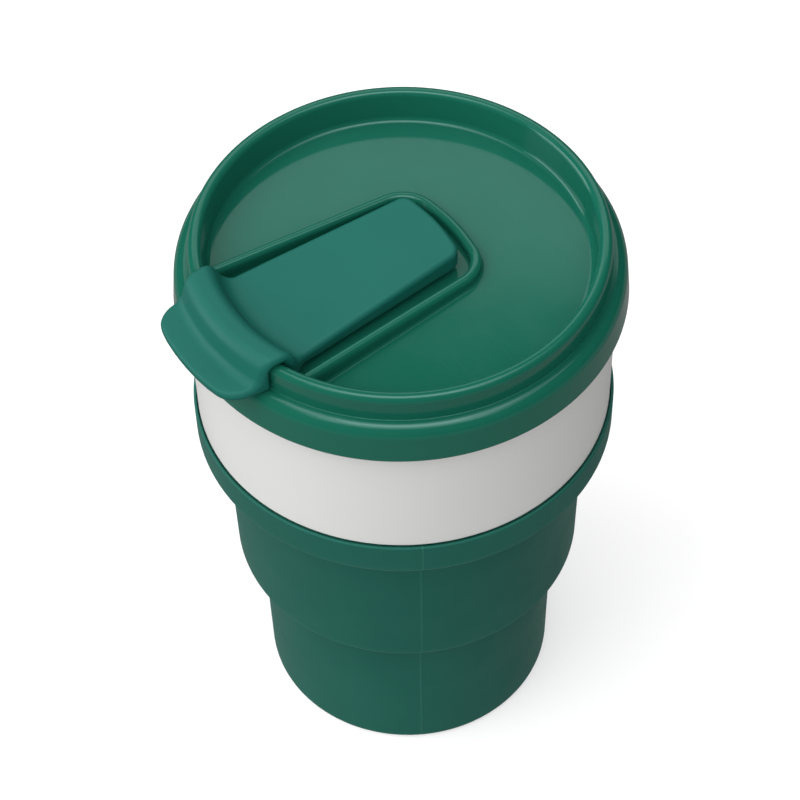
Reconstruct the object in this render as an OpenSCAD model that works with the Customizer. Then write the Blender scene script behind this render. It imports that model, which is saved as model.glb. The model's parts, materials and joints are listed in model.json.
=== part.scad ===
// Collapsible silicone travel cup: three nesting tiers, a rigid grip band, a threaded
// neck, a screw lid with a seal, and a soft flap that plugs the sip hole.
// Origin at the centre of the base, +Z up, the flap's tab towards -Y. Millimetres.

/* [Cup body] */
// Height of the lower tier, from the base to the middle tier's bottom edge
lower_h = 42.2; // [41:0.1:43]
// Height of the middle tier, from its bottom edge to the ledge's bottom edge
middle_h = 40; // [39:0.1:41]
// Height of the ledge that the grip band stands on
ledge_h = 8.3; // [7:0.1:9.5]
// Outer radius at the base
base_r = 32.2; // [31.6:0.1:32.6]
// Outer radius at the top of the lower tier
lower_top_r = 33.2; // [32.8:0.1:33.6]
// Outer radius at the bottom of the middle tier
middle_bottom_r = 38.1; // [37.8:0.1:38.4]
// Outer radius at the top of the middle tier
middle_top_r = 39.2; // [38.8:0.1:39.3]
// Outer radius of the ledge at its bottom
ledge_r = 44.9; // [44.6:0.1:45.2]
// Thickness of the silicone wall
wall = 2.2; // [1.8:0.1:2.4]
// Thickness of the silicone base
base_t = 3; // [2.5:0.1:4]

/* [Grip band and neck] */
// Height of the grip band
band_h = 30.9; // [30:0.1:31]
// Outer radius of the grip band at its bottom
band_bottom_r = 44.1; // [43.9:0.1:44.3]
// Outer radius of the grip band at its top
band_top_r = 44.5; // [44.4:0.1:44.6]
// Inner radius of the grip band
band_in_r = 42.5; // [42.5:0.1:42.8]
// Inner radius of the threaded neck
neck_in_r = 40.2; // [40.1:0.1:40.4]
// Outer radius of the threaded neck above the band
neck_r = 43.2; // [43:0.1:43.3]

/* [Lid] */
// Outer radius of the lid's skirt, the widest round part
skirt_r = 47; // [46.9:0.1:47.5]
// How much narrower the skirt is at the shoulder
skirt_draft = 0.7; // [0.5:0.1:0.7]
// Height of the skirt's bottom edge above the base
skirt_z = 121.7; // [121.7:0.1:121.9]
// Height from the skirt's bottom edge up to the shoulder
shoulder_h = 8.8; // [8.6:0.1:9]
// Height from the skirt's bottom edge up to the rim
rim_h = 14.8; // [14.4:0.1:15.2]
// Outer radius of the rim
rim_r = 43.2; // [43:0.05:43.3]
// Width of the rim's top
rim_w = 2.7; // [2.4:0.05:2.9]
// Depth of the recessed floor below the rim
recess_h = 7; // [6.8:0.1:7.2]
// Height of the raised frame round the flap, above the recessed floor
frame_h = 2.8; // [2.5:0.1:3.1]
// Width of the raised frame
frame_w = 2.2; // [1.8:0.1:2.4]

/* [Thread] */
// Rise of the thread in one turn
lead = 24; // [24:1:24]
// Number of separate threads
starts = 4; // [4:1:4]
// How far the neck's thread stands out
thread_h = 1.1; // [0.9:0.1:1.2]

/* [Flap] */
// Thickness of the flap's plate
plate_t = 3.85; // [3.6:0.05:4]
// Half width of the plate beside the cup's axis
plate_half_w = 10.5; // [10.2:0.05:10.7]
// How much each side of the plate widens per millimetre towards the rim
plate_taper = 0.0825; // [0.07:0.0025:0.09]
// How far the plate's inner end bows out
plate_bow = 1.4; // [1:0.1:1.8]
// Distance from the cup's axis to the plate's inner end
plate_end_y = 9.2; // [8.8:0.1:9.6]
// Distance from the cup's axis to the hinge line
hinge_y = 1.85; // [1.5:0.05:2.2]
// Distance from the cup's axis to the tab's outer edge
tab_r = 52.4; // [52:0.1:53]
// Half width of the tab
tab_half_w = 14.4; // [14:0.1:14.8]
// Height of the hump above the rim
hump_h = 2.4; // [2.2:0.1:2.6]

/* [Hidden] */
$fn = 128;
arc_steps = 6;     // straight pieces in one rounded corner
gap = 0.3;         // clearance between bodies that slide or swing past each other
cut = 1;           // how far a cutting solid runs past what it cuts

silicone_green = [0.14, 0.37, 0.32];
lid_green = [0.15, 0.45, 0.36];
flap_green = [0.18, 0.46, 0.42];
seal_grey = [0.85, 0.86, 0.85];
band_white = [0.86, 0.86, 0.84];

// Heights of the cup's steps
ledge_z = lower_h + middle_h;
band_z = ledge_z + ledge_h;
band_top_z = band_z + band_h;
neck_z = 112;                        // where the neck's lower end stands on the silicone
neck_top_z = skirt_z + 5.3;          // the lid's seal lands here
silicone_neck_r = band_in_r - 0.1;   // outside of the wall behind the band
upper_in_r = neck_in_r + 0.2;        // inside of the upper tier's wall

// Heights and radii of the lid
shoulder_z = skirt_z + shoulder_h;
rim_z = skirt_z + rim_h;
lid_floor_z = rim_z - recess_h;
lid_t = 2;                           // thickness of the lid's floor, shoulder and skirt
skirt_in_r = skirt_r - lid_t - 0.1;
channel_z = shoulder_z - lid_t;      // top of the channel that holds the seal
plug_r = neck_in_r - 0.4;            // outside of the wall that hangs inside the neck
plug_z = skirt_z + 1.4;              // clear of the middle tier when the cup is folded
lid_fillet = 1.2;                    // between the recessed floor and the rim
rim_inner_round = 0.9;
rim_outer_round = 1.2;
rim_foot_fillet = 0.4;               // between the rim's outer wall and the shoulder
shoulder_round = 2.4;                // between the shoulder and the skirt
rim_in_r = rim_r - rim_w;
rim_draft = 1;                       // how much the rim's inner wall leans in at the floor

// The flap and what it plugs
plate_z = lid_floor_z + 0.9;         // underside of the plate
plate_top_z = plate_z + plate_t;
tab_z = shoulder_z + gap;            // underside of the tab
tab_t = 2.2;
tab_round = 5;                       // radius of the tab's corners
plate_round = 2.8;                   // radius of the plate's inner corners
round_growth = 1.1;                  // how fast that radius grows with the outline
hump_z = rim_z + hump_h;
notch_y = -32.4;                     // where the plate widens into the hump
inner_crease_r = 36.5;               // where the plate turns up into the hump
outer_crease_r = 46;                 // where the hump comes down to the tab
frame_gap = 3.8;                     // from the plate's side to the middle of the frame
plug_y = -28.5;                      // middle of the sip plug and its hole
sip_hole = [14, 7];
plug_gap = 0.5;
plug_draft = 0.5;
stud_y = 5.6;                        // middle of the anchor's stud
stud_hole_r = 3;
stud_foot_r = 3.6;
stud_head_r = 4.2;
stud_tip_r = 2.4;
vent_y = -12;
vent_r = 0.8;

// The thread's section and where its ridges start and end
ridge_root = 0.9;                    // half height at the wall
ridge_crest = 0.5;                   // half height at the crest
neck_ridge_turn = 54;
lid_ridge_turn = 45;
lid_ridge_from = 39;                 // just past the neck's ridge, which holds it down

function unit(v) = v / norm(v);

// Corner c = [x, y, radius] of an outline, rounded between its neighbours a and b
function corner(a, c, b) =
    let (p = [c.x, c.y], r = c.z)
    r == 0 ? [p] :
    let (u = unit([a.x, a.y] - p), v = unit([b.x, b.y] - p),
         half = acos(u * v) / 2,
         centre = p + unit(u + v) * r / sin(half),
         from = p + u * r / tan(half) - centre,
         to = p + v * r / tan(half) - centre,
         start = atan2(from.y, from.x),
         turn = (atan2(to.y, to.x) - start + 540) % 360 - 180)
    [for (i = [0:arc_steps]) let (a = start + turn * i / arc_steps) centre + r * [cos(a), sin(a)]];

// An outline whose corners each carry their own radius
function rounded(outline) =
    let (n = len(outline))
    [for (i = [0:n - 1]) each corner(outline[(i + n - 1) % n], outline[i], outline[(i + 1) % n])];

// The outline's points, then the same points mirrored across the Y axis
function both_sides(points) =
    concat(points, [for (i = [len(points) - 1:-1:0]) [-points[i].x, points[i].y, points[i].z]]);

module ring(outline) {
    rotate_extrude() polygon(rounded(outline));
}

module slab(outline, low, high) {
    translate([0, 0, low]) linear_extrude(high - low) polygon(rounded(outline));
}

// Helical ridge on a wall: a trapezoid swept from its root radius to its crest radius.
// It turns through `turn` degrees from `from`, and its middle starts at height z.
module helical_ridge(root_r, crest_r, from, turn, z) {
    steps = ceil(turn / 6);
    side = sign(crest_r - root_r);
    section = [[root_r, -ridge_root], [crest_r, -ridge_crest], [crest_r, ridge_crest], [root_r, ridge_root]];
    points = [for (i = [0:steps], s = section)
        let (a = from + turn * i / steps)
        [s.x * cos(a), s.x * sin(a), z + lead * turn * i / steps / 360 + side * s.y]];
    sides = [for (i = [0:steps - 1], j = [0:3])
        [4 * i + j, 4 * i + (j + 1) % 4, 4 * i + 4 + (j + 1) % 4, 4 * i + 4 + j]];
    polyhedron(points, concat(sides, [[3, 2, 1, 0], [for (j = [0:3]) 4 * steps + j]]));
}

module lower_tier() {
    top = lower_h + wall;
    color(silicone_green) ring([
        [0, 0, 0],
        [base_r, 0, 1.2],
        [lower_top_r, top, 0.6],
        [lower_top_r - wall, top, 0.6],
        [base_r - wall, base_t, 3],
        [0, base_t, 0]]);
}

module middle_tier() {
    top = ledge_z + wall;
    color(silicone_green) ring([
        [lower_top_r + gap, lower_h, 0],
        [middle_bottom_r, lower_h, 1],
        [middle_top_r, top, 0.6],
        [middle_top_r - wall, top, 0.6],
        [middle_bottom_r - wall, lower_h + wall, 0.8],
        [lower_top_r + gap, lower_h + wall, 0]]);
}

module upper_tier() {
    color(silicone_green) ring([
        [middle_top_r + gap, ledge_z, 0],
        [ledge_r, ledge_z, 1],
        [ledge_r + 0.1, band_z, 0.5],
        [silicone_neck_r, band_z, 0],
        [silicone_neck_r, neck_z, 0],
        [upper_in_r, neck_z, 0],
        [upper_in_r, ledge_z + wall, 0],
        [middle_top_r + gap, ledge_z + wall, 0]]);
}

module grip_band() {
    color(band_white) ring([
        [band_in_r, band_z, 0.3],
        [band_bottom_r, band_z, 0.4],
        [band_top_r, band_top_z, 0.4],
        [band_in_r, band_top_z, 0.3]]);
}

module neck_collar() {
    color(band_white) {
        ring([
            [neck_in_r, neck_z, 0],
            [silicone_neck_r, neck_z, 0],
            [silicone_neck_r, band_top_z + gap / 3, 0],
            [neck_r, band_top_z + gap / 3, 0],
            [neck_r, neck_top_z, 0.5],
            [neck_in_r, neck_top_z, 0.5]]);
        for (i = [0:starts - 1])
            helical_ridge(neck_r - gap, neck_r + thread_h, 360 * i / starts, neck_ridge_turn, skirt_z + 0.7);
    }
}

module lid_seal() {
    color(seal_grey) ring([
        [neck_in_r + 0.1, neck_top_z + 0.1, 0.3],
        [neck_r - 0.1, neck_top_z + 0.1, 0.3],
        [neck_r + 0.5, channel_z - 0.1, 0.3],
        [neck_in_r - 0.1, channel_z - 0.1, 0.3]]);
}

// Half width of the plate, which widens towards the rim
function plate_half(y) = plate_half_w - plate_taper * y;

// The plate's inner end, grown all round: a corner, then half of a bowed edge
function inner_end(grow) =
    let (end = plate_end_y + grow, half = plate_half(end) + grow,
         bow_r = (pow(plate_half(plate_end_y), 2) + pow(plate_bow, 2)) / (2 * plate_bow) + grow,
         full = asin(half / bow_r), first = 0.4,
         arc = [for (k = [first:-0.12:0.03]) [bow_r * sin(k * full), end - bow_r * (1 - cos(k * full)), 0]],
         corner_y = arc[0].y - tan(first * full) * (half - arc[0].x))
    concat([[half, corner_y, plate_round + round_growth * grow]], arc);

// Outline of the flap's plate from the line y up to its bowed inner end, grown all round
function plate_outline(y, grow) =
    both_sides(concat([[plate_half(y) + grow, y, 0]], inner_end(grow)));

// The raised frame round the flap, open towards the rim
module flap_frame() {
    reach = -rim_r;
    intersection() {
        difference() {
            slab(plate_outline(reach, frame_gap + frame_w / 2), lid_floor_z - cut / 2, lid_floor_z + frame_h);
            slab(plate_outline(reach - cut, frame_gap - frame_w / 2), lid_floor_z - cut, rim_z);
        }
        // It ends inside the rim's wall
        translate([0, 0, lid_floor_z - cut]) cylinder(r = rim_in_r + cut / 2, h = recess_h);
    }
}

// The sip hole's outline, less a margin all round
function sip_outline(margin) =
    let (half = sip_hole / 2 - [margin, margin], round = half.y - 0.05)
    both_sides([
        [half.x, plug_y - half.y, round],
        [half.x, plug_y + half.y, round]]);

module lid_holes() {
    slab(sip_outline(0), lid_floor_z - lid_t - cut, lid_floor_z + cut);
    for (hole = [[stud_y, stud_hole_r], [vent_y, vent_r]])
        translate([0, hole[0], lid_floor_z - lid_t - cut])
            cylinder(r = hole[1], h = lid_t + 2 * cut);
}

module lid_shell() {
    color(lid_green) {
        difference() {
            union() {
                ring([
                    [0, lid_floor_z, 0],
                    [rim_in_r - rim_draft, lid_floor_z, lid_fillet],
                    [rim_in_r, rim_z, rim_inner_round],
                    [rim_r, rim_z, rim_outer_round],
                    [rim_r, shoulder_z, rim_foot_fillet],
                    [skirt_r - skirt_draft, shoulder_z, shoulder_round],
                    [skirt_r, skirt_z, 0.6],
                    [skirt_in_r, skirt_z, 0.3],
                    [skirt_in_r, channel_z, 0],
                    [plug_r, channel_z, 0],
                    [plug_r, plug_z, 0.5],
                    [plug_r - lid_t, plug_z, 0.5],
                    [plug_r - lid_t, lid_floor_z - lid_t, 1],
                    [0, lid_floor_z - lid_t, 0]]);
                flap_frame();
            }
            lid_holes();
        }
        for (i = [0:starts - 1])
            helical_ridge(skirt_in_r + gap, neck_r + gap, 360 * i / starts + lid_ridge_from,
                          lid_ridge_turn, skirt_z + 1.5);
    }
}

module flap_anchor() {
    head_z = lid_floor_z - lid_t - 0.1;
    color(flap_green) {
        slab(plate_outline(hinge_y + gap / 2, 0), plate_z, plate_top_z);
        translate([0, stud_y, 0]) rotate_extrude() polygon(rounded([
            [0, plate_z + cut, 0],
            [stud_foot_r, plate_z + cut, 0],
            [stud_foot_r, lid_floor_z, 0],
            [stud_hole_r - 0.05, lid_floor_z, 0],
            [stud_hole_r - 0.05, head_z, 0],
            [stud_head_r, head_z, 0.3],
            [stud_tip_r, head_z - 2, 0.8],
            [0, head_z - 2, 0]]));
    }
}

// Outline of the flap seen from above, from the hinge to the tab's curved edge
function flap_outline() =
    let (y = hinge_y - gap / 2, tab_y = -sqrt(pow(tab_r, 2) - pow(tab_half_w, 2)))
    both_sides(concat([
        [plate_half(y), y, 0],
        [plate_half(notch_y) - 0.3, notch_y, 1.8],
        [tab_half_w, notch_y - 2.6, 2],
        [tab_half_w, tab_y, tab_round]],
        [for (a = [7:-2:1]) [tab_r * sin(a), -tab_r * cos(a), 0]]));

module sip_flap() {
    high = hump_z + cut;
    far = tab_r + 2 * cut;
    color(flap_green) {
        difference() {
            slab(flap_outline(), plate_z, high);
            // The air above the plate, on both sides of the hump and above the tab
            ring([
                [0, plate_top_z, 0],
                [inner_crease_r, plate_top_z, 1.5],
                [inner_crease_r + 2.4, hump_z, 2.4],
                [outer_crease_r - 2.6, hump_z, 2.4],
                [outer_crease_r, tab_z + tab_t + 0.2, 2],
                [far, tab_z + tab_t - 0.2, 0],
                [far, high + cut, 0],
                [0, high + cut, 0]]);
            // The room for the rim, and the air under the tab
            ring([
                [rim_in_r - rim_draft - gap, plate_z - cut, 0],
                [rim_in_r - gap, rim_z + gap, 0.6],
                [rim_r + gap, rim_z + gap, 0.6],
                [rim_r + gap, tab_z, 0],
                [far, tab_z, 0],
                [far, plate_z - cut, 0]]);
        }
        hull() {
            slab(sip_outline(plug_gap), plate_z - 0.1, plate_z + cut);
            slab(sip_outline(plug_gap + plug_draft), lid_floor_z - lid_t, plate_z - 0.1);
        }
    }
}

lower_tier();
middle_tier();
upper_tier();
grip_band();
neck_collar();
lid_seal();
lid_shell();
flap_anchor();
sip_flap();
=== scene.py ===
import json
import math

import bmesh
import bpy
import numpy as np
from mathutils import Matrix, Vector


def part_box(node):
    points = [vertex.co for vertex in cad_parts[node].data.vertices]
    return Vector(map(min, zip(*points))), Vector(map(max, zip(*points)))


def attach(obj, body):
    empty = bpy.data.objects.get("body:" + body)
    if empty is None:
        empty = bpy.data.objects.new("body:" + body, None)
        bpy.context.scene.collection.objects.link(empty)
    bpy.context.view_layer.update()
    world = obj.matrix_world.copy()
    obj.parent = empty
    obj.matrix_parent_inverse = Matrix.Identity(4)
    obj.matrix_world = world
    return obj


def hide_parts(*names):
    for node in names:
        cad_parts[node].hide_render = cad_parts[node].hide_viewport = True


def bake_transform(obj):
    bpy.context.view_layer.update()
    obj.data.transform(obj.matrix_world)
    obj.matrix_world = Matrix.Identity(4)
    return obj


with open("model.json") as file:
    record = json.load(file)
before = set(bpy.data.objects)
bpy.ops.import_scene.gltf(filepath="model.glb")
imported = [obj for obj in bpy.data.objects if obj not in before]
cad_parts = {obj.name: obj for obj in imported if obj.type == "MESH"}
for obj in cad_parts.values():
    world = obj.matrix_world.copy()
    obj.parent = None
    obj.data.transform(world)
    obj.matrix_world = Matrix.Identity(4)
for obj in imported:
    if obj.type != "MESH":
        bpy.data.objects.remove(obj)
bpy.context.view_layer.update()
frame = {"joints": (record.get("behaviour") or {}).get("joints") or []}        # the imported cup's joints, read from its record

MM = 0.001               # shapes are written in millimetres, and built in metres


# ---------------------------------------------------------------- the frame's own sizes
def top(node):
    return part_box(node)[1].z / MM


def bottom(node):
    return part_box(node)[0].z / MM


JOINTS = {j["name"]: j for j in frame["joints"]}
HINGE_Y = JOINTS["flap_open"]["pos_m"][1] / MM

RIM_Z = top("lid_shell")
SKIRT_Z = bottom("lid_shell")
SKIRT_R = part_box("lid_shell")[1].y / MM
PLATE_TOP = top("flap_anchor")
HUMP_Z = top("sip_flap")
TAB_R = -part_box("sip_flap")[0].y / MM
TAB_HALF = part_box("sip_flap")[1].x / MM
LEDGE_Z = bottom("upper_tier")
BAND_Z = bottom("grip_band")
BAND_TOP = top("grip_band")
NECK_Z = bottom("neck_collar")
NECK_TOP = top("neck_collar")
SHOULDER_Z = bottom("middle_tier")

# Sizes that no box gives: those of part.scad, or within 0.2 mm of them
SILICONE_T, BASE_T = 2.2, 3
BASE_R, LOWER_TOP_R = 32.2, 33.2
MIDDLE_LOW_R, MIDDLE_TOP_R = 38.1, 39.2
LEDGE_R, LEDGE_TOP_R = 44.9, 45.0
UPPER_OUT, UPPER_IN = 42.4, 40.4
BAND_IN, BAND_LOW_R, BAND_TOP_R = 42.5, 44.1, 44.5
LID_T = 2.0
RIM_R, RIM_W, RIM_DRAFT = 43.2, 2.7, 1.0
RIM_IN = RIM_R - RIM_W
SKIRT_DRAFT = 0.7
LID_FLOOR = RIM_Z - 7.0
LID_SHOULDER = SKIRT_Z + 8.8
SKIRT_IN = SKIRT_R - LID_T - 0.1
CHANNEL_Z = LID_SHOULDER - LID_T
LID_PLUG_R = 39.8
NECK_IN, NECK_OUT = 40.2, 43.2
PLATE_HALF, PLATE_TAPER, PLATE_END, PLATE_BOW_R = 10.5, 0.0825, 9.2, 34.0
PLATE_Z = LID_FLOOR + 0.9
PLATE_SLOPE = 0.043      # how fast the plate's top falls from its inner end to the hump
PLATE_CORNER, CORNER_GROWTH = 2.8, 1.1
NOTCH_Y = -32.4          # where the plate meets the wider hump
FLAP_GAP = 0.25          # between the flap and the rim
TAB_T = 2.1
FRAME_H, FRAME_SLOPE = 2.6, 0.03
FRAME_GAP, FRAME_START = 3.9, -37.6
SIP_Y, SIP_HALF = -28.5, (7.0, 3.5)
STUD_Y, STUD_HOLE_R = 5.6, 3.0
VENT_Y, VENT_R = -12.0, 0.8
LEAD, STARTS = 24.0, 4   # the screw thread's rise in one turn, and its number of ridges

# The narrow groove just outside the band's lower edge
GROOVE_OUT, GROOVE_IN, GROOVE_DEPTH = 44.4, 43.7, 0.8


# ---------------------------------------------------------------- outlines
def corner(before, at, after, steps):
    """A corner (x, y, radius) rounded between its neighbours."""
    p, radius = np.array(at[:2], float), at[2]
    if not radius:
        return [tuple(p)]
    u, v = np.array(before[:2]) - p, np.array(after[:2]) - p
    u, v = u / np.linalg.norm(u), v / np.linalg.norm(v)
    half = math.acos(float(np.clip(u @ v, -1, 1))) / 2
    middle = (u + v) / np.linalg.norm(u + v)
    centre = p + middle * radius / math.sin(half)
    first = p + u * radius / math.tan(half) - centre
    last = p + v * radius / math.tan(half) - centre
    start = math.atan2(first[1], first[0])
    turn = (math.atan2(last[1], last[0]) - start + 3 * math.pi) % (2 * math.pi) - math.pi
    return [
        tuple(centre + radius * np.array([math.cos(a), math.sin(a)]))
        for a in (start + turn * i / steps for i in range(steps + 1))
    ]


def rounded(outline, steps=10):
    n = len(outline)
    return [
        p for i in range(n)
        for p in corner(outline[i - 1], outline[i], outline[(i + 1) % n], steps)
    ]


def both_sides(points):
    return points + [(-x, y, r) for x, y, r in reversed(points)]


def divided(points, step):
    """Extra points along the straight runs of an open line, at most step apart."""
    out = [points[0]]
    for a, b in zip(points, points[1:]):
        n = max(1, math.ceil(math.dist(a, b) / step))
        out += [tuple(a[k] + (b[k] - a[k]) * i / n for k in range(2)) for i in range(1, n + 1)]
    return out


# ---------------------------------------------------------------- meshes
def new_object(name, verts, faces):
    mesh = bpy.data.meshes.new(name)
    mesh.from_pydata([tuple(c * MM for c in v) for v in verts], [], faces)
    mesh.validate()
    obj = bpy.data.objects.new(name, mesh)
    bpy.context.scene.collection.objects.link(obj)
    return obj


def tidy(obj, weld=1e-6):
    """Welds doubles, turns the normals outwards and drops loose points."""
    bm = bmesh.new()
    bm.from_mesh(obj.data)
    bmesh.ops.remove_doubles(bm, verts=bm.verts, dist=weld)
    bmesh.ops.dissolve_degenerate(bm, edges=bm.edges, dist=weld)
    bmesh.ops.recalc_face_normals(bm, faces=bm.faces)
    bm.to_mesh(obj.data)
    bm.free()
    return obj


def smooth(obj, sharp_deg=32):
    """Smooth shading that flat faces keep flat, with edges over the angle kept sharp."""
    bm = bmesh.new()
    bm.from_mesh(obj.data)
    for f in bm.faces:
        f.smooth = True
    for e in bm.edges:
        e.smooth = len(e.link_faces) == 2 and e.calc_face_angle(0) < math.radians(sharp_deg)
    bm.to_mesh(obj.data)
    bm.free()
    weighted = obj.modifiers.new("weighted", "WEIGHTED_NORMAL")
    weighted.keep_sharp = True
    return obj


def revolve(name, outline, segments=256, steps=10, step=None):
    """A solid of revolution. An outline that starts and ends on the axis is capped flat there."""
    profile = rounded(outline, steps)
    closed = outline[0][0] > 0
    if not closed:
        profile = [p for p in profile if p[0] > 1e-6]
    if step:
        profile = divided(profile + profile[:1] if closed else profile, step)
        profile = profile[:-1] if closed else profile
    n = len(profile)
    verts = [
        (r * math.cos(a), r * math.sin(a), z)
        for a in (2 * math.pi * i / segments for i in range(segments))
        for r, z in profile
    ]
    faces = [
        (i * n + j, i * n + (j + 1) % n, (i + 1) % segments * n + (j + 1) % n, (i + 1) % segments * n + j)
        for i in range(segments) for j in range(n if closed else n - 1)
    ]
    if not closed:
        faces += [[i * n + j for i in range(segments)] for j in (0, n - 1)]
    return tidy(new_object(name, verts, faces))


def prism(name, outline, low, high, steps=12):
    points = rounded(outline, steps)
    n = len(points)
    verts = [(x, y, z) for z in (low, high) for x, y in points]
    faces = [(i, (i + 1) % n, n + (i + 1) % n, n + i) for i in range(n)]
    return tidy(new_object(name, verts, faces + [list(range(n)), list(range(n, 2 * n))]))


def tube(name, path, section, rise):
    """A closed section swept along an open path in the XY plane. Its x lies across the path.

    Points of the section above the lid's floor are raised by rise(y) of the path's point."""
    path = np.array(path)
    along = np.gradient(path, axis=0)
    along /= np.linalg.norm(along, axis=1)[:, None]
    across = np.stack([along[:, 1], -along[:, 0]], 1)
    n = len(section)
    verts = [
        (*(p + a * x), z + rise(p[1]) * max(0, z - LID_FLOOR) / FRAME_H)
        for p, a in zip(path, across) for x, z in section]
    faces = [
        (i * n + j, i * n + (j + 1) % n, (i + 1) * n + (j + 1) % n, (i + 1) * n + j)
        for i in range(len(path) - 1) for j in range(n)
    ]
    ends = [list(range(n)), list(range((len(path) - 1) * n, len(path) * n))]
    return tidy(new_object(name, verts, faces + ends))


def thread_ridge(name, root_r, crest_r, first_deg, turn_deg, z, run_out=14):
    """One helical ridge with a rounded crest, which runs out into the wall at both ends."""
    steps = math.ceil(turn_deg / 2)
    section = rounded([(0, -1.0, 0), (1, -0.55, 0.3), (1, 0.55, 0.3), (0, 1.0, 0)], 4)
    verts = []
    for i in range(steps + 1):
        a = turn_deg * i / steps
        grown = min(1, a / run_out, (turn_deg - a) / run_out)
        grown = 0.02 + 0.98 * math.sin(grown * math.pi / 2)
        angle = math.radians(first_deg + a)
        for x, dz in section:
            r = root_r + (crest_r - root_r) * x * grown
            verts.append((r * math.cos(angle), r * math.sin(angle), z + LEAD * a / 360 + dz))
    n = len(section)
    faces = [
        (i * n + j, i * n + (j + 1) % n, (i + 1) * n + (j + 1) % n, (i + 1) * n + j)
        for i in range(steps) for j in range(n)
    ]
    ends = [list(range(n)), list(range(steps * n, (steps + 1) * n))]
    return tidy(new_object(name, verts, faces + ends))


def combine(obj, tools, operation):
    """Adds tools to obj, or cuts them out of it, and removes them."""
    joined = bmesh.new()
    for tool in tools:
        joined.from_mesh(tool.data)
    joined.to_mesh(tools[0].data)
    joined.free()
    m = obj.modifiers.new("boolean", "BOOLEAN")
    m.operation, m.solver, m.object = operation, "EXACT", tools[0]
    bpy.context.view_layer.update()
    made = bpy.data.meshes.new_from_object(obj.evaluated_get(bpy.context.evaluated_depsgraph_get()))
    obj.modifiers.clear()
    obj.data = made
    for tool in tools:
        bpy.data.objects.remove(tool)
    return obj


def mark_edges(obj, rings, width):
    """Stores how near each point is to the named rings (radius, height), for the material's painted
    highlight along them.
    """
    points = np.empty(len(obj.data.vertices) * 3)
    obj.data.vertices.foreach_get("co", points)
    points = points.reshape(-1, 3) / MM
    r, z = np.hypot(points[:, 0], points[:, 1]), points[:, 2]
    near = sum(np.exp(-((r - a) ** 2 + (z - b) ** 2) / width ** 2) for a, b in rings)
    obj.data.attributes.new("edge", "FLOAT", "POINT").data.foreach_set("value", near)


# ---------------------------------------------------------------- soft shapes from distances
def line_distance(px, py, outline):
    """Signed distance from points to a closed outline, negative inside."""
    shape = np.broadcast_shapes(np.shape(px), np.shape(py))
    best = np.full(shape, 1e9)
    inside = np.zeros(shape, bool)
    for (ax, ay), (bx, by) in zip(outline, outline[1:] + outline[:1]):
        dx, dy = bx - ax, by - ay
        t = np.clip(((px - ax) * dx + (py - ay) * dy) / (dx * dx + dy * dy + 1e-12), 0, 1)
        best = np.minimum(best, (px - ax - t * dx) ** 2 + (py - ay - t * dy) ** 2)
        if dy:
            inside ^= ((ay > py) != (by > py)) & (px < ax + (py - ay) * dx / dy)
    return np.where(inside, -1, 1) * np.sqrt(best)


def round_and(a, b, r):
    """What lies in both shapes, with the edge between them rounded to radius r."""
    outer = np.sqrt(np.maximum(a + r, 0) ** 2 + np.maximum(b + r, 0) ** 2)
    return np.minimum(-r, np.maximum(a, b)) + outer


def round_or(a, b, r):
    """What lies in either shape, with a fillet of radius r between them."""
    inner = np.sqrt(np.maximum(r - a, 0) ** 2 + np.maximum(r - b, 0) ** 2)
    return np.maximum(r, np.minimum(a, b)) - inner


def surface_of(name, distance, low, high, step):
    """A quad mesh of the surface where distance(x, y, z) is zero, inside the given box."""
    axes = [np.arange(a, b + step, step) for a, b in zip(low, high)]
    v = distance(*np.ix_(*axes))
    inside = v < 0
    shape = tuple(s - 1 for s in v.shape)

    def part(array, i, j, k):
        return array[i:i + shape[0], j:j + shape[1], k:k + shape[2]]

    corners = [(i, j, k) for i in (0, 1) for j in (0, 1) for k in (0, 1)]
    total = sum(part(inside, *c).astype(int) for c in corners)
    used = (total > 0) & (total < 8)
    index = np.full(shape, -1)
    index[used] = np.arange(used.sum())
    point, crossings = np.zeros((*shape, 3)), np.zeros(shape)
    for a in corners:
        for axis in range(3):
            if a[axis]:
                continue
            b = tuple(c + (n == axis) for n, c in enumerate(a))
            va, vb = part(v, *a), part(v, *b)
            crossed = (va < 0) != (vb < 0)
            t = np.where(crossed, va / np.where(crossed, va - vb, 1), 0)
            for n in range(3):
                point[..., n] += crossed * (a[n] + (t if n == axis else 0))
            crossings += crossed
    base = np.stack(np.nonzero(used), 1)
    verts = (base + point[used] / crossings[used][:, None]) * step + np.array(low)
    faces = []
    for axis in range(3):
        one, two = (axis + 1) % 3, (axis + 2) % 3
        a = np.moveaxis(inside, (axis, one, two), (0, 1, 2))
        i, j, k = np.nonzero(a[:-1, 1:-1, 1:-1] != a[1:, 1:-1, 1:-1])
        leaving = a[:-1, 1:-1, 1:-1][i, j, k]
        cells = np.moveaxis(index, (axis, one, two), (0, 1, 2))
        quad = np.stack([cells[i, j, k], cells[i, j + 1, k], cells[i, j + 1, k + 1], cells[i, j, k + 1]], 1)
        quad[~leaving] = quad[~leaving][:, ::-1]
        faces.append(quad)
    for _ in range(3):
        slope = gradient(distance, verts)
        verts = verts - slope * np.clip(distance(*verts.T), -step, step)[:, None]
    obj = new_object(name, verts, np.concatenate(faces).tolist())
    for f in obj.data.polygons:
        f.use_smooth = True
    obj.data.normals_split_custom_set_from_vertices(gradient(distance, verts))
    return obj


def gradient(distance, points, h=0.02):
    slopes = []
    for axis in range(3):
        offset = np.zeros(3)
        offset[axis] = h
        slopes.append(distance(*(points + offset).T) - distance(*(points - offset).T))
    slopes = np.stack(slopes, 1)
    return slopes / np.maximum(np.linalg.norm(slopes, axis=1), 1e-9)[:, None]


# ---------------------------------------------------------------- the flap
def plate_half(y):
    return PLATE_HALF - PLATE_TAPER * y


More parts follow.
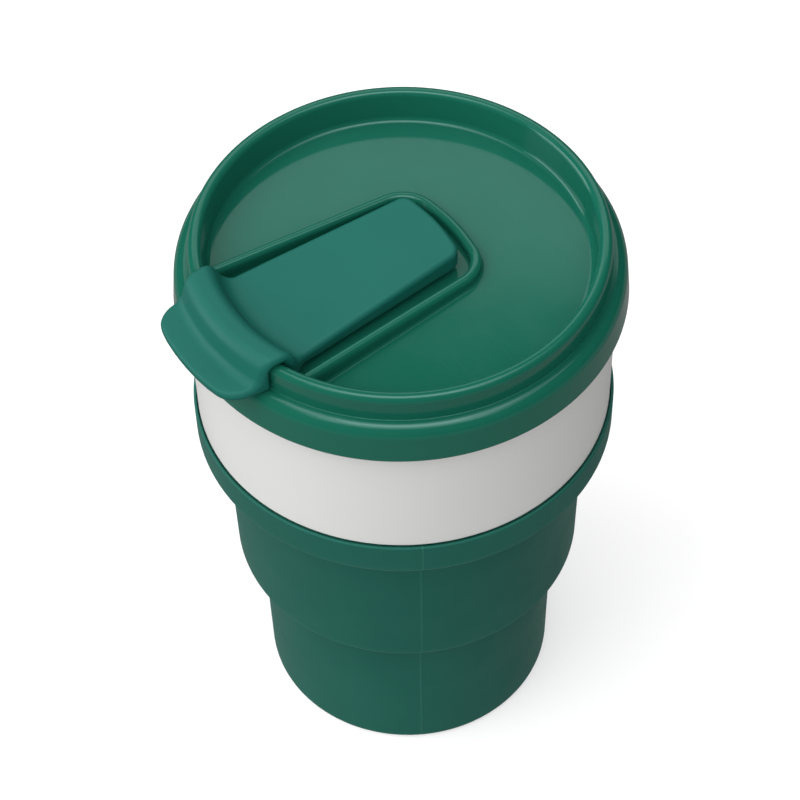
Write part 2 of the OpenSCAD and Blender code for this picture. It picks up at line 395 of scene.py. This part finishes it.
def inner_end(grow):
    """The plate's inner end, grown all round: a corner, then half of a bowed edge."""
    end, bow_r = PLATE_END + grow, PLATE_BOW_R + grow
    half = plate_half(end) + grow
    turns = np.arange(0.4, 0, -0.04) * math.asin(half / bow_r)
    arc = [(bow_r * math.sin(t), end - bow_r * (1 - math.cos(t)), 0) for t in turns]
    # The corner lies where the arc's first tangent meets the side
    y = arc[0][1] - math.tan(turns[0]) * (half - arc[0][0])
    return [(half, y, PLATE_CORNER + CORNER_GROWTH * grow), *arc]


def flap_plan():
    """The flap seen from above: plate, hump and tab."""
    tab_y = -math.sqrt(TAB_R ** 2 - TAB_HALF ** 2)
    arc = [(TAB_R * math.sin(a), -TAB_R * math.cos(a), 0) for a in np.radians([8, 6, 4, 2, 0.5])]
    points = [
        *inner_end(0)[::-1],
        (plate_half(NOTCH_Y) - 0.2, NOTCH_Y, 2.0),
        (TAB_HALF + 0.5, -35.3, 2.2),
        (TAB_HALF + 0.3, -41.5, 8),
        (TAB_HALF - 0.7, tab_y, 6.4),
        *arc]
    return rounded(both_sides(points), 8)


def flap_section():
    """The flap cut along its middle, as distance from the lid's axis and height."""
    tab_z = LID_SHOULDER + 0.3
    low_end = PLATE_TOP - 0.8
    return rounded([
        (-PLATE_END - 1, PLATE_Z, 0),
        (RIM_IN - RIM_DRAFT - FLAP_GAP, PLATE_Z, 0.8),
        (RIM_IN - FLAP_GAP, RIM_Z + 0.2, 0.7),
        (RIM_R + FLAP_GAP, RIM_Z + 0.2, 0.9),
        (RIM_R + FLAP_GAP, tab_z, 0.3),
        (TAB_R, tab_z, 1.05),
        (TAB_R, tab_z + TAB_T, 1.05),
        (46.3, tab_z + 2.4, 2.2),
        (44.5, HUMP_Z + 0.1, 3.0),
        (39.2, HUMP_Z + 0.1, 3.0),
        (36.3, low_end, 3.6),
        (-PLATE_END - 1, low_end + PLATE_SLOPE * (36.4 + PLATE_END + 1), 0)], 8)


def cut_hinge(body, x, y, z):
    """Takes out the groove under the living hinge, which stops short of the plate's sides."""
    groove = np.hypot(y - HINGE_Y, np.maximum(z - (PLATE_TOP - 2.2), 0)) - 1.15
    groove = np.maximum(groove, np.abs(x) - plate_half(HINGE_Y) + 1.6)
    return round_and(body, -groove, 0.5)


def add_plug(body, x, y, z):
    """Adds the sip plug, drawn in towards its lower end."""
    half_x, half_y = SIP_HALF[0] - 0.5, SIP_HALF[1] - 0.5
    slot = np.hypot(np.maximum(np.abs(x) - half_x + half_y, 0), y - SIP_Y) - half_y
    plug = slot + (PLATE_Z - z) / 4 * 0.5
    plug = round_and(plug, np.abs(z - (PLATE_Z - 0.6)) - 2.6, 0.8)
    return round_or(body, plug, 0.5)


def add_stud(body, x, y, z):
    """Adds the anchor's stud: a foot on the lid's floor, a neck and a head that snaps under it."""
    off = np.hypot(x, y - STUD_Y)
    foot = round_and(off - 3.6, np.abs(z - (LID_FLOOR + 1.6)) - 1.6, 0.2)
    neck_part = round_and(off - STUD_HOLE_R + 0.05, np.abs(z - LID_FLOOR) - 3.5, 0.2)
    flare = 4.2 - np.clip(LID_FLOOR - LID_T - 0.1 - z, 0, 2) * 0.7
    head = round_and(off - flare, np.abs(z - (LID_FLOOR - LID_T - 1.1)) - 1, 0.3)
    return np.minimum(round_or(body, foot, 0.4), np.minimum(neck_part, head))


def flap_distance():
    plan, section = flap_plan(), flap_section()

    def distance(x, y, z):
        # Straight across the plate, and round the lid's axis at the hump and tab
        round_part = np.clip((-24 - y) / 6, 0, 1)
        away = round_part * np.hypot(x, y) - (1 - round_part) * y
        body = round_and(line_distance(x, y, plan), line_distance(away, z, section), 1.15)
        return add_stud(add_plug(cut_hinge(body, x, y, z), x, y, z), x, y, z)

    return distance


def flap_silicone():
    obj = surface_of(
        "flap_silicone", flap_distance(),
        (-16.2, -TAB_R - 0.9, LID_FLOOR - 5.0), (16.2, PLATE_END + 0.9, HUMP_Z + 0.8), 0.3)
    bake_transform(obj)
    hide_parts("flap_anchor", "sip_flap")
    return obj


# ---------------------------------------------------------------- the lid
def flap_frame_ridge():
    """The raised frame round the flap: one ridge swept round a U that ends in the rim's wall."""
    first = (plate_half(FRAME_START) + FRAME_GAP, FRAME_START, 0)
    line = divided(rounded(both_sides([first, *inner_end(FRAME_GAP)]), 24), 0.6)
    z = LID_FLOOR
    half = [(1.1, z + FRAME_H, 1.05), (1.25, z, 0.6), (2.4, z - 0.02, 0), (2.4, z - 0.5, 0)]
    section = rounded(half + [(-x, h, r) for x, h, r in half[::-1]], 8)
    return tube("frame_ridge", line, section, lambda y: FRAME_SLOPE * (PLATE_END - y) - 0.1)


def lid_shell():
    z = LID_FLOOR
    lid = revolve("lid_outer", [
        (0, z, 0),
        (RIM_IN - RIM_DRAFT, z, 1.2),
        (RIM_IN, RIM_Z, 1.15),
        (RIM_R, RIM_Z, 1.4),
        (RIM_R, LID_SHOULDER, 0.2),
        (SKIRT_R - SKIRT_DRAFT, LID_SHOULDER, 2.85),
        (SKIRT_R, SKIRT_Z, 0.55),
        (SKIRT_IN, SKIRT_Z, 0.3),
        (SKIRT_IN, CHANNEL_Z, 0.3),
        (LID_PLUG_R, CHANNEL_Z, 0.3),
        (LID_PLUG_R, SKIRT_Z + 1.4, 0.5),
        (LID_PLUG_R - LID_T, SKIRT_Z + 1.4, 0.5),
        (LID_PLUG_R - LID_T, z - LID_T, 1),
        (0, z - LID_T, 0)], steps=12)
    combine(lid, [flap_frame_ridge()], "UNION")
    slot = both_sides([
        (SIP_HALF[0], SIP_Y - SIP_HALF[1], SIP_HALF[1] - 0.05),
        (SIP_HALF[0], SIP_Y + SIP_HALF[1], SIP_HALF[1] - 0.05)])
    tools = [prism("sip_cut", slot, z - LID_T - 1, z + 1)]
    for y, r in ((STUD_Y, STUD_HOLE_R), (VENT_Y, VENT_R)):
        hole = [(r * math.cos(a), y + r * math.sin(a), 0) for a in np.arange(48) * math.pi / 24]
        tools.append(prism("round_cut", hole, z - LID_T - 1, z + 1))
    combine(lid, tools, "DIFFERENCE")
    ridges = [
        thread_ridge(
            f"lid_thread_{i}", SKIRT_IN + 0.3, NECK_OUT + 0.3,
            360 * i / STARTS + 39, 45, SKIRT_Z + 1.5)
        for i in range(STARTS)]
    combine(lid, ridges, "UNION")
    smooth(tidy(lid))
    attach(lid, "lid")
    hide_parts("lid_shell")
    return lid


def lid_seal():
    """A flat ring with a lip each side, in the lid's channel."""
    low, high = bottom("lid_seal"), top("lid_seal")
    mid = (low + high) / 2
    seal = revolve("seal_ring", [
        (NECK_IN - 0.1, low, 0.25),
        (NECK_OUT - 0.4, low, 0.25),
        (NECK_OUT, mid - 0.1, 0.15),
        (NECK_OUT + 0.45, mid + 0.1, 0.2),
        (NECK_OUT + 0.35, high, 0.25),
        (NECK_IN - 0.1, high, 0.25)], steps=6)
    smooth(seal)
    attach(seal, "seal")
    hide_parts("lid_seal")
    return seal


# ---------------------------------------------------------------- the neck, band and body
def neck():
    collar = revolve("threaded_neck", [
        (NECK_IN, NECK_Z, 0.3),
        (UPPER_OUT, NECK_Z, 0.3),
        (UPPER_OUT, BAND_TOP + 0.1, 0.2),
        (NECK_OUT, BAND_TOP + 0.1, 0.3),
        (NECK_OUT, NECK_TOP, 0.6),
        (NECK_IN, NECK_TOP, 0.6)])
    ridges = [
        thread_ridge(f"neck_thread_{i}", NECK_OUT - 0.3, NECK_OUT + 1.1, 360 * i / STARTS, 54, SKIRT_Z + 0.7)
        for i in range(STARTS)]
    combine(collar, ridges, "UNION")
    smooth(tidy(collar))
    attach(collar, "upper")
    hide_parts("neck_collar")
    return collar


def band():
    ring = revolve("white_band", [
        (BAND_IN, BAND_Z, 0.3),
        (BAND_LOW_R, BAND_Z, 0.45),
        (BAND_TOP_R, BAND_TOP, 0.45),
        (BAND_IN, BAND_TOP, 0.3)])
    smooth(ring)
    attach(ring, "upper")
    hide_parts("grip_band")
    return ring


def silicone_body():
    """The whole silicone moulding as one skin."""
    t = SILICONE_T
    body = revolve("silicone_body", [
        (0, 0, 0),
        (BASE_R, 0, 1.5),
        (LOWER_TOP_R, SHOULDER_Z, 0.9),
        (MIDDLE_LOW_R, SHOULDER_Z, 1.0),
        (MIDDLE_TOP_R, LEDGE_Z, 0.9),
        (LEDGE_R, LEDGE_Z, 1.0),
        (LEDGE_TOP_R, BAND_Z, 0.4),
        (GROOVE_OUT, BAND_Z, 0.12),
        (GROOVE_OUT, BAND_Z - GROOVE_DEPTH, 0.2),
        (GROOVE_IN, BAND_Z - GROOVE_DEPTH, 0.2),
        (GROOVE_IN, BAND_Z, 0.12),
        (UPPER_OUT, BAND_Z, 0.3),
        (UPPER_OUT, NECK_Z, 0),
        (UPPER_IN, NECK_Z, 0),
        (UPPER_IN, LEDGE_Z + t, 1.5),
        (MIDDLE_TOP_R - t, LEDGE_Z + t, 1.5),
        (MIDDLE_LOW_R - t, SHOULDER_Z + t, 1.2),
        (LOWER_TOP_R - t, SHOULDER_Z + t, 1.2),
        (BASE_R - t, BASE_T, 3),
        (0, BASE_T, 0)], step=1.3)
    smooth(body, 60)
    mark_edges(body, ((LEDGE_R, LEDGE_Z), (MIDDLE_LOW_R, SHOULDER_Z)), 0.55)
    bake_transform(body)
    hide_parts("lower_tier", "middle_tier", "upper_tier")
    return body


# ---------------------------------------------------------------- materials
def linear(r, g, b):
    """A screen colour, 0 to 255, as Blender's linear colour."""
    def one(c):
        c /= 255
        return c / 12.92 if c <= 0.04045 else ((c + 0.055) / 1.055) ** 2.4
    return (one(r), one(g), one(b), 1)


class Surface:
    """A plastic or rubber, built up in layers that all follow the object's own position."""

    def __init__(self, name, colour, specular, sheen):
        self.material = bpy.data.materials.new(name)
        self.material.use_nodes = True
        self.nodes, self.links = self.material.node_tree.nodes, self.material.node_tree.links
        self.shader = self.nodes["Principled BSDF"]
        self.shader.inputs["Specular IOR Level"].default_value = specular
        self.shader.inputs["Specular Tint"].default_value = sheen
        self.place = self.nodes.new("ShaderNodeTexCoord").outputs["Object"]
        self.colour, self.base, self.height = None, colour, None

    def noise(self, scale, detail=4.0, place=None):
        n = self.nodes.new("ShaderNodeTexNoise")
        n.inputs["Scale"].default_value, n.inputs["Detail"].default_value = scale, detail
        self.links.new(place or self.place, n.inputs["Vector"])
        return n.outputs["Fac"]

    def ranged(self, value, from_min, from_max, to_min, to_max):
        n = self.nodes.new("ShaderNodeMapRange")
        limits = {"From Min": from_min, "From Max": from_max, "To Min": to_min, "To Max": to_max}
        for socket, number in limits.items():
            n.inputs[socket].default_value = number
        self.links.new(value, n.inputs["Value"])
        return n.outputs["Result"]

    def maths(self, operation, a, b):
        n = self.nodes.new("ShaderNodeMath")
        n.operation = operation
        self.links.new(a, n.inputs[0])
        if isinstance(b, float):
            n.inputs[1].default_value = b
        else:
            self.links.new(b, n.inputs[1])
        return n.outputs["Value"]

    def stretched(self, x, y, z):
        n = self.nodes.new("ShaderNodeMapping")
        n.inputs["Scale"].default_value = (x, y, z)
        self.links.new(self.place, n.inputs["Vector"])
        return n.outputs["Vector"]

    def vary_colour(self, scale, spread):
        """Broad, faint differences in the colour."""
        n = self.nodes.new("ShaderNodeMix")
        n.data_type = "RGBA"
        n.inputs["A"].default_value = tuple(c * (1 - spread) for c in self.base[:3]) + (1,)
        n.inputs["B"].default_value = tuple(c * (1 + spread) for c in self.base[:3]) + (1,)
        self.links.new(self.ranged(self.noise(scale), 0.3, 0.7, 0, 1), n.inputs["Factor"])
        self.colour = n.outputs["Result"]

    def tint(self, mask, colour, amount):
        """Lays another colour over what is there, where the mask is 1."""
        n = self.nodes.new("ShaderNodeMix")
        n.data_type = "RGBA"
        self.links.new(self.maths("MULTIPLY", mask, amount), n.inputs["Factor"])
        self.links.new(self.colour, n.inputs["A"])
        n.inputs["B"].default_value = colour
        self.colour = n.outputs["Result"]

    def raise_by(self, height, amount):
        """Adds to the height that the bump is made from, in parts of 0.1 mm."""
        part = self.maths("MULTIPLY", height, amount)
        self.height = part if self.height is None else self.maths("ADD", self.height, part)

    def specks(self, spacing, size, colour, amount):
        """Sparse specks of dust or moulding flaws, of uneven size."""
        n = self.nodes.new("ShaderNodeTexVoronoi")
        n.inputs["Scale"].default_value = 1 / (spacing * MM)
        self.links.new(self.place, n.inputs["Vector"])
        uneven = self.ranged(self.noise(60), 0.35, 0.65, -size, size * 2)
        grown = self.maths("ADD", n.outputs["Distance"], uneven)
        self.tint(self.ranged(grown, size * 0.7, size * 1.3, 1, 0), colour, amount)

    def finish(self, roughness, spread, scale):
        self.links.new(self.colour, self.shader.inputs["Base Color"])
        rough = self.ranged(self.noise(scale), 0.3, 0.7, roughness - spread, roughness + spread)
        self.links.new(rough, self.shader.inputs["Roughness"])
        bump = self.nodes.new("ShaderNodeBump")
        bump.inputs["Strength"].default_value = 1.0
        bump.inputs["Distance"].default_value = 0.1 * MM
        self.links.new(self.height, bump.inputs["Height"])
        self.links.new(bump.outputs["Normal"], self.shader.inputs["Normal"])
        return self.material


DUST = (0.5, 0.55, 0.52, 1)
COOL = (0.72, 1.0, 0.98, 1)      # the green mouldings shine a little cool
PLAIN = (1, 1, 1, 1)


def parting_line(surface, angle):
    """The thin raised line where the two halves of the mould met, on both sides of the cup."""
    across = surface.nodes.new("ShaderNodeVectorMath")
    across.operation = "DOT_PRODUCT"
    across.inputs[1].default_value = (-math.sin(angle), math.cos(angle), 0)
    surface.links.new(surface.place, across.inputs[0])
    off = surface.maths("ABSOLUTE", across.outputs["Value"], 0.0)
    mask = surface.ranged(off, 0.08 * MM, 0.22 * MM, 1, 0)
    surface.tint(mask, (0.04, 0.2, 0.16, 1), 0.3)
    surface.raise_by(mask, 0.4)


def body_material():
    s = Surface("body_silicone", linear(16, 90, 77), 0.35, COOL)
    s.vary_colour(28, 0.05)
    edge = s.nodes.new("ShaderNodeAttribute")
    edge.attribute_name = "edge"
    # Painted highlight: the steps' lower edges are painted paler, unevenly, where their rounded corners
    # catch the light
    painted_edge_highlight = s.maths("MULTIPLY", edge.outputs["Fac"], s.ranged(s.noise(90), 0.35, 0.65, 0.6, 1))
    s.tint(painted_edge_highlight, (0.13, 0.36, 0.31, 1), 0.75)
    s.raise_by(s.noise(2600, 2), 0.12)
    s.raise_by(s.noise(260, 3), 0.25)
    parting_line(s, math.radians(-30))
    s.specks(13, 0.010, DUST, 0.5)
    s.shader.inputs["Sheen Weight"].default_value = 0.06
    s.shader.inputs["Sheen Roughness"].default_value = 0.4
    s.shader.inputs["Sheen Tint"].default_value = (0.75, 1, 0.95, 1)
    return s.finish(0.6, 0.07, 70)


def flap_material():
    s = Surface("flap_rubber", linear(18, 93, 82), 0.22, COOL)
    s.vary_colour(45, 0.04)
    s.raise_by(s.noise(2600, 2), 0.1)
    s.raise_by(s.noise(300, 3), 0.2)
    s.specks(11, 0.011, DUST, 0.5)
    return s.finish(0.5, 0.06, 90)


def lid_material():
    s = Surface("lid_plastic", linear(20, 90, 73), 0.5, COOL)
    s.vary_colour(35, 0.03)
    s.raise_by(s.noise(140, 3), 0.1)
    # Rubbed marks from cloths and fingers: long thin streaks that barely show
    s.raise_by(s.ranged(s.noise(1, 2, s.stretched(60, 3600, 900)), 0.66, 0.72, 0, 1), -0.03)
    s.specks(9, 0.010, DUST, 0.45)
    return s.finish(0.1, 0.02, 120)


def band_material():
    s = Surface("band_plastic", linear(218, 218, 216), 0.5, PLAIN)
    s.vary_colour(30, 0.012)
    s.raise_by(s.noise(1500, 3), 0.05)
    s.raise_by(s.noise(120, 3), 0.12)
    s.specks(14, 0.009, (0.35, 0.34, 0.32, 1), 0.35)
    return s.finish(0.4, 0.05, 80)


def seal_material():
    s = Surface("seal_rubber", linear(225, 226, 222), 0.3, PLAIN)
    s.vary_colour(60, 0.03)
    s.raise_by(s.noise(2200, 2), 0.12)
    return s.finish(0.55, 0.06, 150)


def paint(obj, material):
    obj.data.materials.clear()
    obj.data.materials.append(material)


# ---------------------------------------------------------------- camera, light and floor
AZIMUTH, ELEVATION, ROLL = math.radians(56.1), math.radians(50.76), math.radians(1.449)
FLOOR_HALF = 4000
DISTANCE, TARGET_Z, SIDESTEP, LENS = 0.6397, 0.08379, -0.000849, 133.3


def direction(azimuth, elevation):
    """Unit vector towards a view direction, given in degrees like the camera's."""
    a, e = math.radians(azimuth), math.radians(elevation)
    return Vector((math.sin(a) * math.cos(e), -math.cos(a) * math.cos(e), math.sin(e)))


def camera():
    right = Vector((math.cos(AZIMUTH), math.sin(AZIMUTH), 0))
    back = direction(math.degrees(AZIMUTH), math.degrees(ELEVATION))
    up = back.cross(right)
    x = right * math.cos(ROLL) - up * math.sin(ROLL)
    y = right * math.sin(ROLL) + up * math.cos(ROLL)
    data = bpy.data.cameras.new("camera")
    data.sensor_width, data.lens = 36, LENS
    data.clip_start, data.clip_end = 0.01, 20
    obj = bpy.data.objects.new("camera", data)
    bpy.context.scene.collection.objects.link(obj)
    place = Vector((0, 0, TARGET_Z)) + back * DISTANCE + right * SIDESTEP
    obj.matrix_world = Matrix.Translation(place) @ Matrix((x, y, back)).transposed().to_4x4()
    bpy.context.scene.camera = obj


def softbox(name, azimuth, elevation, distance, size, glow):
    """A rectangular light that shows in reflections only. Glow is its brightness, where 1 looks white."""
    data = bpy.data.lights.new(name, "AREA")
    data.shape = "RECTANGLE"
    data.size, data.size_y = size
    data.energy = 4 * glow * size[0] * size[1]
    obj = bpy.data.objects.new(name, data)
    bpy.context.scene.collection.objects.link(obj)
    towards = direction(azimuth, elevation)
    obj.location = Vector((0, 0, LID_FLOOR * MM)) + towards * distance
    obj.rotation_mode = "QUATERNION"
    obj.rotation_quaternion = towards.to_track_quat("Z", "Y")
    obj.visible_diffuse = False


def sun(name, azimuth, elevation, softness, strength):
    """A soft distant light that gives shade but no reflection."""
    data = bpy.data.lights.new(name, "SUN")
    data.energy, data.angle = strength, math.radians(softness)
    obj = bpy.data.objects.new(name, data)
    bpy.context.scene.collection.objects.link(obj)
    obj.rotation_mode = "QUATERNION"
    obj.rotation_quaternion = direction(azimuth, elevation).to_track_quat("Z", "Y")
    obj.visible_glossy = False


def dome(level, side):
    """A dim dome of light that is brighter towards one side, and doesn't show in reflections."""
    world = bpy.data.worlds.new("world")
    bpy.context.scene.world = world
    world.use_nodes = True
    nodes, links = world.node_tree.nodes, world.node_tree.links
    along = nodes.new("ShaderNodeVectorMath")
    along.operation = "DOT_PRODUCT"
    along.inputs[1].default_value = side
    links.new(nodes.new("ShaderNodeTexCoord").outputs["Generated"], along.inputs[0])
    shade = nodes.new("ShaderNodeMapRange")
    for name, value in (("From Min", -1), ("From Max", 1), ("To Min", 0), ("To Max", level * 2)):
        shade.inputs[name].default_value = value
    links.new(along.outputs["Value"], shade.inputs["Value"])
    links.new(shade.outputs["Result"], nodes["Background"].inputs["Strength"])
    nodes["Background"].inputs["Color"].default_value = (1, 1, 1, 1)
    world.cycles_visibility.glossy = False


def glowing_sheet(name, z, albedo, glow):
    """A wide level sheet of one plain matt tone that also gives off some light."""
    h = FLOOR_HALF
    sheet = new_object(name, [(-h, -h, z), (h, -h, z), (h, h, z), (-h, h, z)], [(0, 1, 2, 3)])
    m = bpy.data.materials.new(name)
    m.use_nodes = True
    p = m.node_tree.nodes["Principled BSDF"]
    p.inputs["Base Color"].default_value = (albedo, albedo, albedo, 1)
    p.inputs["Roughness"].default_value = 0.9
    p.inputs["Specular IOR Level"].default_value = 0.0
    p.inputs["Emission Color"].default_value = (1, 1, 1, 1)
    p.inputs["Emission Strength"].default_value = glow
    sheet.data.materials.append(m)
    return sheet


def floor():
    """The pale floor that the camera sees. It throws no light on the cup: grey_card does."""
    sheet = glowing_sheet("floor", 0, 0.55, 0.46)
    sheet.visible_glossy = sheet.visible_diffuse = False


def grey_card():
    """What the cup sees below it in place of the white floor, which would wash its colours out."""
    card = glowing_sheet("grey_card", -5, 0, 0.27)
    card.data.materials[0].cycles.emission_sampling = "NONE"
    card.visible_camera = card.visible_shadow = False


def studio():
    floor()
    view = math.degrees(AZIMUTH)
    dome(0.88, direction(view - 60, 35))
    sun("key", view - 70, 52, 50, 1.2)
    softbox("back_box", view + 180, 38.5, 2.5, (2.4, 0.92), 0.9)
    # One overhead light that fades towards its edges, made of three nested ones
    nested = (((2.3, 1.9), 0.8), ((1.6, 1.15), 1.1), ((0.9, 0.5), 1.6))
    for i, (size, glow) in enumerate(nested):
        softbox(f"top_box_{i}", view, 86, 2.0 - 0.02 * i, size, glow)
    softbox("left_box", view - 95, 15, 2.5, (1.8, 1.8), 2.3)
    grey_card()


bpy.context.scene.view_settings.view_transform = "Standard"
camera()
studio()

band_white = band_material()
for obj, material in (
    (silicone_body(), body_material()), (band(), band_white), (neck(), band_white),
    (lid_seal(), seal_material()), (lid_shell(), lid_material()), (flap_silicone(), flap_material()),
):
    paint(obj, material)
